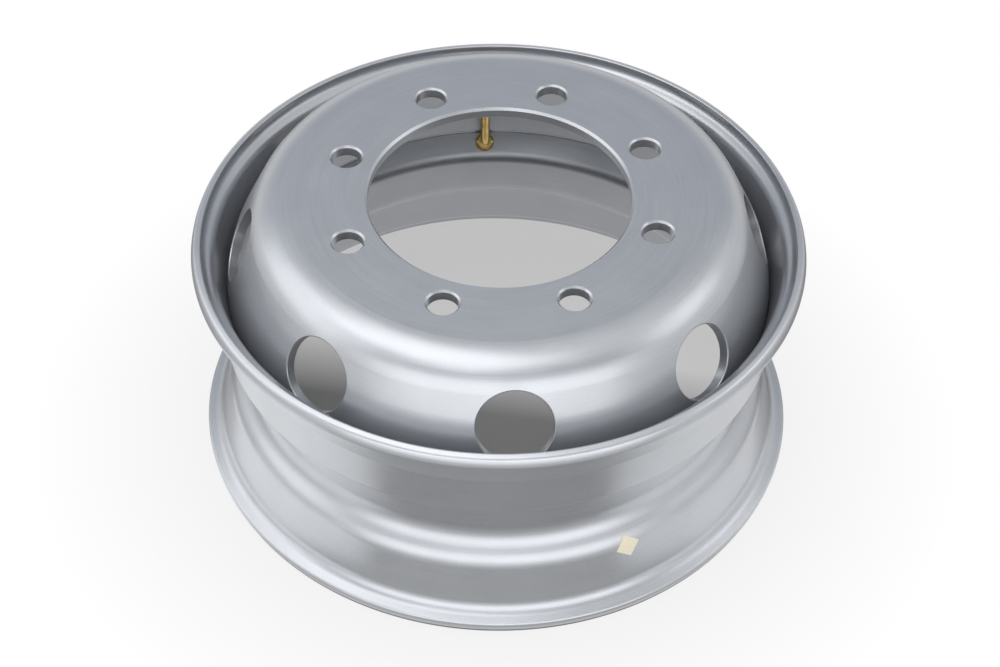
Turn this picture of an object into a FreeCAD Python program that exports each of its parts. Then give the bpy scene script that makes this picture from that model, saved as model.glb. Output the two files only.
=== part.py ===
"""Truck steel wheel: a rolled drop-centre rim, a pressed disc welded into it and a bent tyre valve.

Millimetres and degrees. +Z is the wheel's axis. The wheel lies on the rim's lower flange at Z = 0,
with the convex face of the disc up. The valve stands at +Y, in line with a hand hole.
"""
import math
import os

import FreeCAD
import Part
import Sketcher
from FreeCAD import Placement, Rotation, Vector

# Driving dimensions
SIZES = {
    "rim_width": 190.5,  # between the two bead faces
    "flange_depth": 12.75,  # each flange along the axis, past its bead face
    "flange_height": 12.7,  # flange above the bead seat
    "bead_rise": 9.15,  # bead seat at the bead face above the ledge
    "rim_wall": 6.0,  # rim sheet
    "seat_angle": 14.0,  # bead seats from the axis
    "seat_width": 44.5,  # lower bead seat along the axis
    "ledge_radius": 238.5,  # cylindrical ledge round the disc's skirt
    "ledge_height": 132.0,  # lower edge of the ledge
    "well_depth": 23.5,  # bottom of the drop-centre well below the ledge
    "ramp_angle": 45.0,  # both walls of the well from the axis
    "lip_rounding": 2.2,  # edges of the sheet at both flanges
    "flange_rounding": 6.2,  # flange on the tyre's side
    "flange_inner_rounding": 2.4,  # flange on the open side
    "heel_rounding": 8.0,  # bead heel on the tyre's side
    "heel_inner_rounding": 11.0,  # bead heel on the open side
    "seat_end_rounding": 10.0,  # between lower seat and well
    "well_rounding": 14.0,  # bottom corners of the well
    "ledge_edge_rounding": 2.0,  # lower edge of the ledge
    "ledge_seat_rounding": 20.0,  # between ledge and upper seat
    "face_height": 258.0,  # convex face of the disc above the floor
    "disc_plate": 11.0,  # disc at its flat
    "skirt_plate": 9.0,  # disc at its skirt
    "bore_radius": 110.5,  # centre bore
    "bore_chamfer": 2.0,  # edges of the centre bore
    "bolt_circle_radius": 137.5,  # bolt holes from the axis
    "bolt_hole_radius": 13.0,  # bolt hole
    "bolt_chamfer": 1.6,  # edges of the bolt holes
    "bolt_count": 8,  # bolt holes
    "bell_angle": 25.0,  # bell wall from the axis
    "bell_height": 185.3,  # where the bell's line meets the skirt's
    "shoulder_rounding": 40.0,  # between flat and bell, outside
    "bell_rounding": 100.0,  # between bell and skirt, outside
    "skirt_rise": 5.5,  # lower end of the skirt above the ledge's lower edge
    "skirt_edge_rounding": 1.5,  # lower inner edge of the skirt
    "press_gap": 0.05,  # between skirt, weld and rim
    "hand_hole_radius": 31.2,  # hand hole
    "hand_hole_height": 210.0,  # hand hole's centre on the bell
    "hand_hole_edge": 1.0,  # rounding of the hand holes' edges
    "hand_hole_count": 8,  # hand holes
    "weld_width": 6.5,  # weld along the skirt's end
    "weld_run": 5.0,  # weld along the rim's ramp
    "weld_crown": 1.4,  # weld face out of its chord
    "valve_hole_radius": 4.85,  # hole in the rim
    "stem_radius": 4.05,  # valve stem
    "air_passage_radius": 1.5,  # passage through the stem
    "foot_radius": 8.0,  # stem's foot on the tyre's side
    "foot_plate": 2.5,  # stem's foot
    "grommet_radius": 8.6,  # rubber grommet's collar
    "grommet_plate": 3.0,  # rubber grommet's collar
    "fit_gap": 0.1,  # between stem, grommet and hole
    "washer_radius": 8.5,  # washer under the nut
    "washer_clearance": 0.7,  # between washer and weld
    "washer_plate": 1.5,  # washer under the nut
    "washer_lift": 0.2,  # flat washer clear of the ramp's curve
    "nut_flats": 13.0,  # valve nut across its flats
    "nut_height": 5.8,  # valve nut
    "nut_chamfer": 1.0,  # upper corners of the valve nut
    "stem_foot_run": 9.0,  # straight stem from the ramp to its bend
    "stem_bend": 14.0,  # bend of the stem at its middle
    "stem_run": 60.0,  # upright stem from its bend to its tip
    "core_depth": 23.0,  # bore for the valve core from the stem's tip
    "core_bore_radius": 2.6,  # bore for the valve core
    "core_radius": 2.45,  # valve core's barrel
    "core_foot": 6.0,  # barrel's lower end above the bore's bottom
    "core_sink": 1.0,  # barrel's upper end below the stem's tip
    "core_plate": 2.0,  # end walls of the barrel
    "core_cavity_radius": 1.7,  # spring's room in the barrel
    "pin_radius": 0.55,  # valve pin
    "pin_gap": 0.08,  # between pin and barrel
    "pin_sink": 0.3,  # pin's tip below the stem's tip
    "pin_collar_radius": 1.4,  # pin's spring collar
    "pin_collar_plate": 0.8,  # pin's spring collar
    "pin_travel_room": 3.4,  # pin's collar below the barrel's upper wall
    "pin_seal_radius": 2.0,  # rubber seal on the pin's foot
    "pin_seal_plate": 1.6,  # rubber seal on the pin's foot
    "pin_foot_radius": 1.7,  # pin's foot under its seal
    "pin_foot_plate": 0.7,  # pin's foot under its seal
    "seal_gap": 0.02,  # between seal and barrel
    "spring_radius": 1.1,  # spring at its wire's middle
    "spring_wire_radius": 0.18,  # spring wire
    "spring_turns": 4,  # turns of the spring
    "ring_depth": 0.35,  # barrel's sealing ring into the barrel
    "ring_width": 1.8,  # barrel's sealing ring
    "ring_height": 12.0,  # barrel's sealing ring above the bore's bottom
    "cap_radius": 5.6,  # valve cap
    "cap_skirt": 9.0,  # cap below the stem's tip
    "cap_top": 2.0,  # cap's top wall
    "cap_gap": 0.1,  # between cap and stem
    "cap_rounding": 1.2,  # cap's upper edge
    "cap_flute_radius": 0.7,  # grip flutes round the cap
    "cap_flute_count": 16,  # grip flutes round the cap
    "cap_seal_plate": 1.0,  # rubber disc in the cap
    "cap_seal_hole_radius": 1.2,  # rubber disc's hole over the pin
    "sticker_side": 15.5,  # square paper sticker
    "sticker_paper": 0.2,  # paper
    "sticker_glue": 0.05,  # glue under the paper
    "sticker_turn": 55.0,  # sticker turned in its own plane
    "sticker_azimuth": -65.9,  # sticker's place round the rim
    "sticker_blank": 20.0,  # arc of the strip that the sticker is cut from
    "cut_reach": 6,  # cutting length in plates or sides, enough to pass right through
}

doc = FreeCAD.newDocument("truck_steel_wheel")
sheet = doc.addObject("Spreadsheet::Sheet", "dims")
for row, (alias, value) in enumerate(SIZES.items(), start=1):
    sheet.set(f"A{row}", alias)
    sheet.set(f"B{row}", str(value))
    sheet.setAlias(f"B{row}", alias)
doc.recompute()


def value_of(expression):
    """Present value of an expression in the sheet's aliases."""
    return float(sheet.evalExpression(expression.replace("dims.", "")))


def new_body(label, y="0", z="0", tilt="0"):
    """Empty body whose origin stands at (0, y, z), tilted about X."""
    body = doc.addObject("PartDesign::Body", label)
    body.Label = label
    body.Placement = Placement(Vector(0, 0, 0), Rotation(Vector(1, 0, 0), value_of(tilt)))
    for path, expression in (("Base.y", y), ("Base.z", z), ("Rotation.Angle", tilt)):
        body.setExpression(f"Placement.{path}", expression)
    return body


def origin_feature(body, role):
    """Plane or axis of a body's own origin."""
    return next(item for item in body.Origin.OriginFeatures if item.Role == role)


def new_sketch(body, plane, name):
    sketch = body.newObject("Sketcher::SketchObject", name)
    sketch.AttachmentSupport = (origin_feature(body, plane), "")
    sketch.MapMode = "FlatFace"
    return sketch


def bind(sketch, constraint, expression):
    """Adds a constraint whose size follows the sheet."""
    index = sketch.addConstraint(constraint)
    name = f"size_{index}"
    sketch.renameConstraint(index, name)
    sketch.setExpression(f"Constraints.{name}", expression)


def place_point(sketch, geometry, end, x, y):
    """Holds a point at (x, y); a coordinate of "0" lies on the sketch's axis."""
    for kind, axis, expression in (("DistanceX", -2, x), ("DistanceY", -1, y)):
        if expression == "0":
            sketch.addConstraint(Sketcher.Constraint("PointOnObject", geometry, end, axis))
        else:
            amount = value_of(expression)
            bind(sketch, Sketcher.Constraint(kind, -1, 1, geometry, end, amount), expression)


def outline(sketch, corners):
    """Closed outline of lines; a corner is (x, y) when sharp and (x, y, radius) when rounded."""
    count = len(corners)
    spots = [Vector(value_of(corner[0]), value_of(corner[1]), 0) for corner in corners]
    arrivals, departures, arcs = [], [], []
    for index, corner in enumerate(corners):
        spot = spots[index]
        back = (spots[index - 1] - spot).normalize()
        ahead = (spots[(index + 1) % count] - spot).normalize()
        radius = value_of(corner[2]) if len(corner) == 3 else 0.0
        half = back.getAngle(ahead)/2
        arrive, depart = spot + back*(radius/math.tan(half)), spot + ahead*(radius/math.tan(half))
        arrivals.append(arrive)
        departures.append(depart)
        centre = spot + (back + ahead).normalize()*(radius/math.sin(half))
        turns_left = back.cross(ahead).z < 0
        first, last = (arrive, depart) if turns_left else (depart, arrive)
        sweep = [math.atan2((end - centre).y, (end - centre).x) for end in (first, last)]
        arcs.append((centre, radius, sweep, turns_left))
    for index in range(count):
        line = Part.LineSegment(departures[index], arrivals[(index + 1) % count])
        sketch.addGeometry(line, False)
    for index, corner in enumerate(corners):
        before = (index - 1) % count
        if len(corner) == 2:
            sketch.addConstraint(Sketcher.Constraint("Coincident", before, 2, index, 1))
            place_point(sketch, index, 1, corner[0], corner[1])
            continue
        centre, radius, sweep, turns_left = arcs[index]
        ring = Part.Circle(centre, Vector(0, 0, 1), radius)
        arc = sketch.addGeometry(Part.ArcOfCircle(ring, *sweep), False)
        point = sketch.addGeometry(Part.Point(spots[index]), True)
        place_point(sketch, point, 1, corner[0], corner[1])
        first, last = (1, 2) if turns_left else (2, 1)
        sketch.addConstraint([
            Sketcher.Constraint("PointOnObject", point, 1, before),
            Sketcher.Constraint("PointOnObject", point, 1, index),
            Sketcher.Constraint("Tangent", before, 2, arc, first),
            Sketcher.Constraint("Tangent", index, 1, arc, last),
        ])
        bind(sketch, Sketcher.Constraint("Radius", arc, radius), corner[2])


def circle(sketch, x, y, radius):
    """Circle with its centre and radius given as expressions."""
    centre = Vector(value_of(x), value_of(y), 0)
    shape = Part.Circle(centre, Vector(0, 0, 1), value_of(radius))
    geometry = sketch.addGeometry(shape, False)
    place_point(sketch, geometry, 3, x, y)
    bind(sketch, Sketcher.Constraint("Radius", geometry, value_of(radius)), radius)


def revolve(body, points, name="Section"):
    """Turns a closed outline in (radius, height) about the body's Z axis."""
    sketch = new_sketch(body, "XZ_Plane", name)
    outline(sketch, points)
    feature = body.newObject("PartDesign::Revolution", "Revolution")
    feature.Profile = sketch
    feature.ReferenceAxis = (sketch, ["V_Axis"])
    feature.Angle = 360
    doc.recompute()
    return feature


def pad(body, draw, height, name):
    """Raises the outline that draw(sketch) makes on the body's XY plane."""
    sketch = new_sketch(body, "XY_Plane", name)
    draw(sketch)
    feature = body.newObject("PartDesign::Pad", f"{name}Pad")
    feature.Profile = sketch
    feature.setExpression("Length", height)
    doc.recompute()
    return feature


def tube_points(inner, outer, low, high):
    """Outline of a plain ring for revolve."""
    return [(inner, low), (outer, low), (outer, high), (inner, high)]


def hole_edges(feature, radius):
    """Names of the curved edges of every round hole of one radius."""
    size = value_of(radius)
    walls = [face for face in feature.Shape.Faces
             if isinstance(face.Surface, Part.Cylinder) and round(face.Surface.Radius - size, 3) == 0]
    curved = [edge for face in walls for edge in face.Edges if not isinstance(edge.Curve, Part.Line)]
    return [f"Edge{index}" for index, edge in enumerate(feature.Shape.Edges, start=1)
            if any(edge.isSame(other) for other in curved)]


def dress(body, kind, edges, size):
    """Fillet or chamfer on named edges of the body's last feature."""
    base = body.Tip
    feature = body.newObject(f"PartDesign::{kind}", kind)
    feature.Base = (base, edges)
    feature.setExpression("Radius" if kind == "Fillet" else "Size", size)
    doc.recompute()
    return feature


def pattern(body, feature, count):
    """Repeats a feature round the body's Z axis."""
    repeat = body.newObject("PartDesign::PolarPattern", "Pattern")
    repeat.Originals = [feature]
    repeat.Axis = (origin_feature(body, "Z_Axis"), [""])
    repeat.Angle = 360
    repeat.setExpression("Occurrences", count)
    body.Tip = repeat
    doc.recompute()
    return repeat


def cut_through(body, sketch, length):
    """Cuts a sketch's outline by the same length on both sides of its plane."""
    before = body.Shape.Volume
    feature = body.newObject("PartDesign::Pocket", "Cut")
    feature.Profile = sketch
    feature.Midplane = True
    feature.setExpression("Length", length)
    doc.recompute()
    if body.Shape.Volume >= before:
        raise RuntimeError(f"{body.Label}: {sketch.Label} cuts nothing")
    return feature


def tilted_hole(body, name, radius, at_y, at_z, lean, tilt, length):
    """Round hole through (0, at_y, at_z), its axis turned from Y by the tilt about the axis X*lean."""
    sketch = new_sketch(body, "XZ_Plane", name)
    sketch.AttachmentOffset = Placement(Vector(0, 0, 0), Rotation(Vector(lean, 0, 0), value_of(tilt)))
    sketch.setExpression("AttachmentOffset.Base.y", at_z)
    sketch.setExpression("AttachmentOffset.Base.z", f"-{at_y}")
    sketch.setExpression("AttachmentOffset.Rotation.Angle", tilt)
    circle(sketch, "0", "0", radius)
    return cut_through(body, sketch, length)


def offset_corner(corner, before, after, distance):
    """Corner of a sheet's other side; before and after are the angles from the axis of its two lines."""
    radius, height = corner
    middle = f"(({before} + {after})/2)"
    half = f"(({before} - {after})/2)"
    return (f"({radius} - {distance}*cos({middle})/cos({half}))",
            f"({height} + {distance}*sin({middle})/cos({half}))")


# Radii and heights of the rim's corners on the tyre's side
BEAD_RADIUS = "(dims.ledge_radius + dims.bead_rise)"
WELL_RADIUS = "(dims.ledge_radius - dims.well_depth)"
FLANGE_RADIUS = f"({BEAD_RADIUS} + dims.flange_height)"
LOW_BEAD = "dims.flange_depth"
HIGH_BEAD = "(dims.flange_depth + dims.rim_width)"
RIM_TOP = "(2*dims.flange_depth + dims.rim_width)"
SEAT_END = (f"({BEAD_RADIUS} - dims.seat_width*tan(dims.seat_angle))",
            "(dims.flange_depth + dims.seat_width)")
WELL_LOW = (WELL_RADIUS, f"({SEAT_END[1]} + ({SEAT_END[0]} - {WELL_RADIUS})/tan(dims.ramp_angle))")
WELL_HIGH = (WELL_RADIUS, "(dims.ledge_height - dims.well_depth/tan(dims.ramp_angle))")
LEDGE_LOW = ("dims.ledge_radius", "dims.ledge_height")
LEDGE_HIGH = ("dims.ledge_radius", f"({HIGH_BEAD} - dims.bead_rise/tan(dims.seat_angle))")
SEAT = "dims.seat_angle"
RAMP = "dims.ramp_angle"
WALL = "dims.rim_wall"

# The disc's skirt, pressed into the ledge
SKIRT_RADIUS = "(dims.ledge_radius - dims.rim_wall - dims.press_gap)"
SKIRT_END = "(dims.ledge_height + dims.skirt_rise)"

# The valve's axis stands square to the ramp, on the rim's open side, with its washer just below the weld
VALVE_TILT = "(90 - dims.ramp_angle)"
RAMP_RUN = "(dims.weld_run + dims.washer_clearance + dims.washer_radius)"
VALVE_Y = f"((dims.ledge_radius - dims.rim_wall) - {RAMP_RUN}*sin({RAMP}))"
VALVE_Z = f"((dims.ledge_height + dims.rim_wall*tan(dims.ramp_angle/2)) - {RAMP_RUN}*cos({RAMP}))"
SEAT_DEPTH = "(dims.foot_plate + dims.grommet_plate + dims.rim_wall)"
FOOT_Y = f"({VALVE_Y} + {SEAT_DEPTH}*sin({VALVE_TILT}))"
FOOT_Z = f"({VALVE_Z} - {SEAT_DEPTH}*cos({VALVE_TILT}))"
BEND_START = f"({SEAT_DEPTH} + dims.stem_foot_run)"
CORE_Y = f"({VALVE_Y} - dims.stem_foot_run*sin({VALVE_TILT}) - dims.stem_bend*(1 - cos({VALVE_TILT})))"
BEND_RISE = f"(dims.stem_foot_run*cos({VALVE_TILT}) + dims.stem_bend*sin({VALVE_TILT}))"
TIP_Z = f"({VALVE_Z} + {BEND_RISE} + dims.stem_run)"
CORE_Z = f"({TIP_Z} - dims.core_depth)"


def make_rim():
    """One rolled sheet: flange, bead seat, drop-centre well, disc ledge, bead seat, flange."""
    outside = [(FLANGE_RADIUS, "0"), (FLANGE_RADIUS, LOW_BEAD), (BEAD_RADIUS, LOW_BEAD), SEAT_END, WELL_LOW,
               WELL_HIGH, LEDGE_LOW, LEDGE_HIGH, (BEAD_RADIUS, HIGH_BEAD), (FLANGE_RADIUS, HIGH_BEAD),
               (FLANGE_RADIUS, RIM_TOP)]
    angles = ["0", "-90", f"-{SEAT}", f"-{RAMP}", "0", RAMP, "0", SEAT, "90", "0"]
    inner_lip = f"({FLANGE_RADIUS} - {WALL})"
    inside = [offset_corner(outside[index], angles[index - 1], angles[index], WALL)
              for index in range(1, len(angles))]
    inside = [(inner_lip, "0"), *inside, (inner_lip, RIM_TOP)]
    lip = "(min(dims.lip_rounding; 0.4*dims.rim_wall))"
    seat_end, well = "dims.seat_end_rounding", "dims.well_rounding"
    ledge, ledge_seat = "dims.ledge_edge_rounding", "dims.ledge_seat_rounding"
    heel_turn = "(tan((90 - dims.seat_angle)/2))"
    inner_height = f"((dims.flange_height - dims.rim_wall) + {WALL}*{heel_turn})"
    flange = "(min(dims.flange_rounding; 0.49*dims.flange_height))"
    heel = f"min(dims.heel_rounding; (0.5*dims.flange_height)/{heel_turn})"
    inner_flange = f"min(dims.flange_inner_rounding; 0.22*{inner_height})"
    inner_heel = f"min(dims.heel_inner_rounding; 0.77*{inner_height}/{heel_turn})"
    middle = [seat_end, well, well, ledge, ledge_seat]
    outer_rounds = [lip, flange, heel, *middle, heel, flange, lip]
    inner_rounds = [lip, inner_flange, inner_heel, *middle, inner_heel, inner_flange, lip]
    skin = [(*corner, rounding) for corner, rounding in zip(outside, outer_rounds)]
    lining = [(*corner, rounding) for corner, rounding in zip(inside, inner_rounds)]
    body = new_body("rim")
    revolve(body, skin + lining[::-1])
    tilted_hole(body, "ValveHole", "dims.valve_hole_radius", VALVE_Y, VALVE_Z, -1, RAMP,
                "(dims.cut_reach*dims.rim_wall)")
    return body


def make_disc():
    """Pressed disc: bolting flat, rounded shoulder, flared bell with hand holes, skirt inside the rim."""
    bell = "dims.bell_angle"
    face, skirt = "dims.face_height", SKIRT_RADIUS
    inner_skirt = f"({skirt} - dims.skirt_plate)"
    shoulder = (f"({skirt} - (dims.face_height - dims.bell_height)*tan(dims.bell_angle))", face)
    inner_face = "(dims.face_height - dims.disc_plate)"
    inner_shoulder = (f"({shoulder[0]} - dims.disc_plate*tan((90 - dims.bell_angle)/2))", inner_face)
    knee = (skirt, "dims.bell_height")
    inner_knee = (inner_skirt, "(dims.bell_height - dims.skirt_plate*tan(dims.bell_angle/2))")
    bore = "dims.bore_radius"
    chamfer = "(min(dims.bore_chamfer; 0.4*dims.disc_plate))"
    shoulder_round, bell_round = "dims.shoulder_rounding", "dims.bell_rounding"
    inner_shoulder_round = "(max(dims.shoulder_rounding - dims.disc_plate; 1))"
    inner_bell_round = "(max(dims.bell_rounding - dims.skirt_plate; 1))"
    edge = "(min(dims.skirt_edge_rounding; 0.4*dims.skirt_plate))"
    body = new_body("disc")
    revolve(body, [(f"({bore} + {chamfer})", face), (*shoulder, shoulder_round), (*knee, bell_round),
                   (skirt, SKIRT_END), (inner_skirt, SKIRT_END, edge), (*inner_knee, inner_bell_round),
                   (*inner_shoulder, inner_shoulder_round), (f"({bore} + {chamfer})", inner_face),
                   (bore, f"({inner_face} + {chamfer})"), (bore, f"({face} - {chamfer})")])

    sketch = new_sketch(body, "XY_Plane", "BoltHole")
    sketch.setExpression("AttachmentOffset.Base.z", face)
    half_step = "(180/dims.bolt_count)"
    circle(sketch, f"(dims.bolt_circle_radius*sin({half_step}))",
           f"(dims.bolt_circle_radius*cos({half_step}))", "dims.bolt_hole_radius")
    hole = cut_through(body, sketch, "(dims.cut_reach*dims.disc_plate)")
    pattern(body, hole, "dims.bolt_count")
    dress(body, "Chamfer", hole_edges(body.Tip, "dims.bolt_hole_radius"), "dims.bolt_chamfer")

    hole_y = f"({skirt} - (dims.hand_hole_height - dims.bell_height)*tan({bell}))"
    hand_hole = tilted_hole(body, "HandHole", "dims.hand_hole_radius", hole_y, "dims.hand_hole_height", 1,
                            bell, "(dims.cut_reach*dims.disc_plate)")
    pattern(body, hand_hole, "dims.hand_hole_count")
    dress(body, "Fillet", hole_edges(body.Tip, "dims.hand_hole_radius"), "dims.hand_hole_edge")
    return body


def make_weld():
    """Weld bead between the skirt's end, the ledge and the top of the ramp."""
    gap = "dims.press_gap"
    bore = SKIRT_RADIUS
    top = f"({SKIRT_END} - dims.press_gap)"
    corner = offset_corner(LEDGE_LOW, RAMP, "0", f"({WALL} + {gap})")
    toe = (f"({corner[0]} - dims.weld_run*sin({RAMP}))", f"({corner[1]} - dims.weld_run*cos({RAMP}))")
    head = (f"({bore} - dims.weld_width)", top)
    crown = (f"(({toe[0]} + {head[0]})/2 - dims.weld_crown)", f"(({toe[1]} + {head[1]})/2)")
    body = new_body("disc_weld")
    rounding = "(max(dims.ledge_edge_rounding - dims.press_gap; 0.1))"
    revolve(body, [head, (bore, top), (*corner, rounding), toe, crown])
    return body


def make_valve_stem():
    """Brass stem: foot under the rim, bent neck, upright barrel with the bore for its core."""
    body = new_body("valve_stem", FOOT_Y, FOOT_Z, VALVE_TILT)
    pad(body, lambda sketch: circle(sketch, "0", "0", "dims.foot_radius"), "dims.foot_plate", "Foot")

    path = new_sketch(body, "YZ_Plane", "Path")
    bend, turn = value_of("dims.stem_bend"), value_of(VALVE_TILT)
    start = value_of(BEND_START)
    knee = Vector(0, start, 0)
    centre = Vector(bend, start, 0)
    end = centre + Rotation(Vector(0, 0, 1), 180 - turn).multVec(Vector(bend, 0, 0))
    run = Rotation(Vector(0, 0, 1), 90 - turn).multVec(Vector(value_of("dims.stem_run"), 0, 0))
    path.addGeometry(Part.LineSegment(Vector(0, 0, 0), knee), False)
    arc = Part.Circle(centre, Vector(0, 0, 1), bend)
    path.addGeometry(Part.ArcOfCircle(arc, math.radians(180 - turn), math.radians(180)), False)
    path.addGeometry(Part.LineSegment(end, end + run), False)
    path.addConstraint(Sketcher.Constraint("Coincident", 0, 1, -1, 1))
    path.addConstraint(Sketcher.Constraint("Vertical", 0))
    path.addConstraint(Sketcher.Constraint("Tangent", 0, 2, 1, 2))
    path.addConstraint(Sketcher.Constraint("Tangent", 1, 1, 2, 1))
    bind(path, Sketcher.Constraint("Distance", 0, start), BEND_START)
    bind(path, Sketcher.Constraint("Radius", 1, bend), "dims.stem_bend")
    bind(path, Sketcher.Constraint("Distance", 2, run.Length), "dims.stem_run")
    set_back = f"(dims.stem_bend*(1 - cos({VALVE_TILT})))"
    bind(path, Sketcher.Constraint("DistanceX", -1, 1, 1, 1, value_of(set_back)), set_back)

    for kind, radius in (("Additive", "dims.stem_radius"), ("Subtractive", "dims.air_passage_radius")):
        profile = new_sketch(body, "XY_Plane", f"{kind}Profile")
        circle(profile, "0", "0", radius)
        pipe = body.newObject(f"PartDesign::{kind}Pipe", f"{kind}Pipe")
        pipe.Profile = profile
        pipe.Spine = (path, ["Edge1", "Edge2", "Edge3"])
        doc.recompute()

    bore = new_sketch(body, "XY_Plane", "CoreBore")
    bore.AttachmentOffset = Placement(Vector(0, 0, 0), Rotation(Vector(-1, 0, 0), turn))
    tip_run = "dims.stem_run"
    bore.setExpression("AttachmentOffset.Base.y", f"{set_back} + {tip_run}*sin({VALVE_TILT})")
    bore.setExpression("AttachmentOffset.Base.z",
                       f"{BEND_START} + dims.stem_bend*sin({VALVE_TILT}) + {tip_run}*cos({VALVE_TILT})")
    bore.setExpression("AttachmentOffset.Rotation.Angle", VALVE_TILT)
    circle(bore, "0", "0", "dims.core_bore_radius")
    cut_through(body, bore, "(2*dims.core_depth)")
    return body


def make_grommet():
    """Rubber grommet: a collar on the tyre's side and a sleeve in the rim's hole."""
    low = "dims.foot_plate"
    high = "(dims.foot_plate + dims.grommet_plate)"
    inner = "(dims.stem_radius + dims.fit_gap)"
    sleeve = "(dims.valve_hole_radius - dims.fit_gap)"
    body = new_body("valve_grommet", FOOT_Y, FOOT_Z, VALVE_TILT)
    collar = "dims.grommet_radius"
    revolve(body, [(inner, low), (collar, low), (collar, high), (sleeve, high), (sleeve, SEAT_DEPTH),
                   (inner, SEAT_DEPTH)])
    return body


def make_washer():
    low = f"({SEAT_DEPTH} + dims.washer_lift)"
    body = new_body("valve_washer", FOOT_Y, FOOT_Z, VALVE_TILT)
    revolve(body, tube_points("(dims.stem_radius + dims.fit_gap)", "dims.washer_radius", low,
                              f"({low} + dims.washer_plate)"))
    return body


def make_nut():
    """Hexagon nut on the stem, its upper corners turned off."""
    low = f"({SEAT_DEPTH} + (dims.washer_lift + dims.washer_plate))"
    body = new_body("valve_nut", f"({FOOT_Y} - {low}*sin({VALVE_TILT}))",
                    f"({FOOT_Z} + {low}*cos({VALVE_TILT}))", VALVE_TILT)

    def hexagon(sketch):
        corner = "(dims.nut_flats/sqrt(3))"
        half, rise = f"({corner}/2)", "(dims.nut_flats/2)"
        outline(sketch, [(corner, "0"), (half, rise), (f"-{half}", rise), (f"-{corner}", "0"),
                         (f"-{half}", f"-{rise}"), (half, f"-{rise}")])
        circle(sketch, "0", "0", "(dims.stem_radius + dims.fit_gap)")

    pad(body, hexagon, "dims.nut_height", "Hexagon")
    sketch = new_sketch(body, "XZ_Plane", "Corners")
    corner, flat, drop = "(dims.nut_flats/sqrt(3))", "(dims.nut_flats/2)", "dims.nut_height"
    outline(sketch, [(flat, drop), (f"({corner} + dims.nut_chamfer)", drop),
                     (f"({corner} + dims.nut_chamfer)", f"({drop} - dims.nut_chamfer)")])
    groove = body.newObject("PartDesign::Groove", "CornerGroove")
    groove.Profile = sketch
    groove.ReferenceAxis = (sketch, ["V_Axis"])
    groove.Angle = 360
    doc.recompute()
    return body


CORE_TOP = "(dims.core_depth - dims.core_sink)"
BARREL_LOW = "dims.core_foot"
CAVITY_LOW = "(dims.core_foot + dims.core_plate)"
CAVITY_HIGH = f"({CORE_TOP} - dims.core_plate)"
COLLAR_HIGH = f"({CAVITY_HIGH} - dims.pin_travel_room)"
COLLAR_LOW = f"({COLLAR_HIGH} - dims.pin_collar_plate)"
SEAL_HIGH = f"({BARREL_LOW} - dims.seal_gap)"
SEAL_LOW = f"({SEAL_HIGH} - dims.pin_seal_plate)"
PIN_LOW = f"({SEAL_LOW} - dims.pin_foot_plate)"
RING_INNER = "(dims.core_radius - dims.ring_depth)"
RING_LOW = "dims.ring_height"
RING_HIGH = "(dims.ring_height + dims.ring_width)"


def core_body(label):
    """Empty body in the upright frame of the stem's core bore, its origin at the bore's bottom."""
    return new_body(label, CORE_Y, CORE_Z)


def make_core_barrel():
    """Core's barrel: end walls round the pin, room for the spring, groove for the sealing ring."""
    outer, cavity = "dims.core_radius", "dims.core_cavity_radius"
    guide = "(dims.pin_radius + dims.pin_gap)"
    body = core_body("core_barrel")
    revolve(body, [(guide, BARREL_LOW), (outer, BARREL_LOW), (outer, RING_LOW), (RING_INNER, RING_LOW),
                   (RING_INNER, RING_HIGH), (outer, RING_HIGH), (outer, CORE_TOP), (guide, CORE_TOP),
                   (guide, CAVITY_HIGH), (cavity, CAVITY_HIGH), (cavity, CAVITY_LOW), (guide, CAVITY_LOW)])
    return body


def make_core_ring():
    body = core_body("core_ring")
    revolve(body, tube_points(RING_INNER, "dims.core_bore_radius", RING_LOW, RING_HIGH))
    return body


def make_pin():
    """Pin with its spring collar and the foot that carries the seal."""
    pin, foot, collar = "dims.pin_radius", "dims.pin_foot_radius", "dims.pin_collar_radius"
    tip = "(dims.core_depth - dims.pin_sink)"
    body = core_body("core_pin")
    revolve(body, [("0", PIN_LOW), (foot, PIN_LOW), (foot, SEAL_LOW), (pin, SEAL_LOW), (pin, COLLAR_LOW),
                   (collar, COLLAR_LOW), (collar, COLLAR_HIGH), (pin, COLLAR_HIGH), (pin, tip), ("0", tip)])
    return body


def make_pin_seal():
    body = core_body("core_seal")
    revolve(body, tube_points("dims.pin_radius", "dims.pin_seal_radius", SEAL_LOW, SEAL_HIGH))
    return body


def make_spring():
    """Coil spring between the barrel's lower wall and the pin's collar."""
    wire = "dims.spring_wire_radius"
    start = f"({CAVITY_LOW} + {wire})"
    body = core_body("core_spring")
    sketch = new_sketch(body, "XZ_Plane", "Wire")
    circle(sketch, "dims.spring_radius", start, wire)
    coil = body.newObject("PartDesign::AdditiveHelix", "Coil")
    coil.Profile = sketch
    coil.ReferenceAxis = (sketch, ["V_Axis"])
    coil.Mode = "height-turns-angle"
    height = f"({COLLAR_LOW} - {CAVITY_LOW} - 2*{wire})"
    coil.setExpression("Height", height)
    coil.setExpression("Turns", "dims.spring_turns")
    doc.recompute()
    return body


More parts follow.
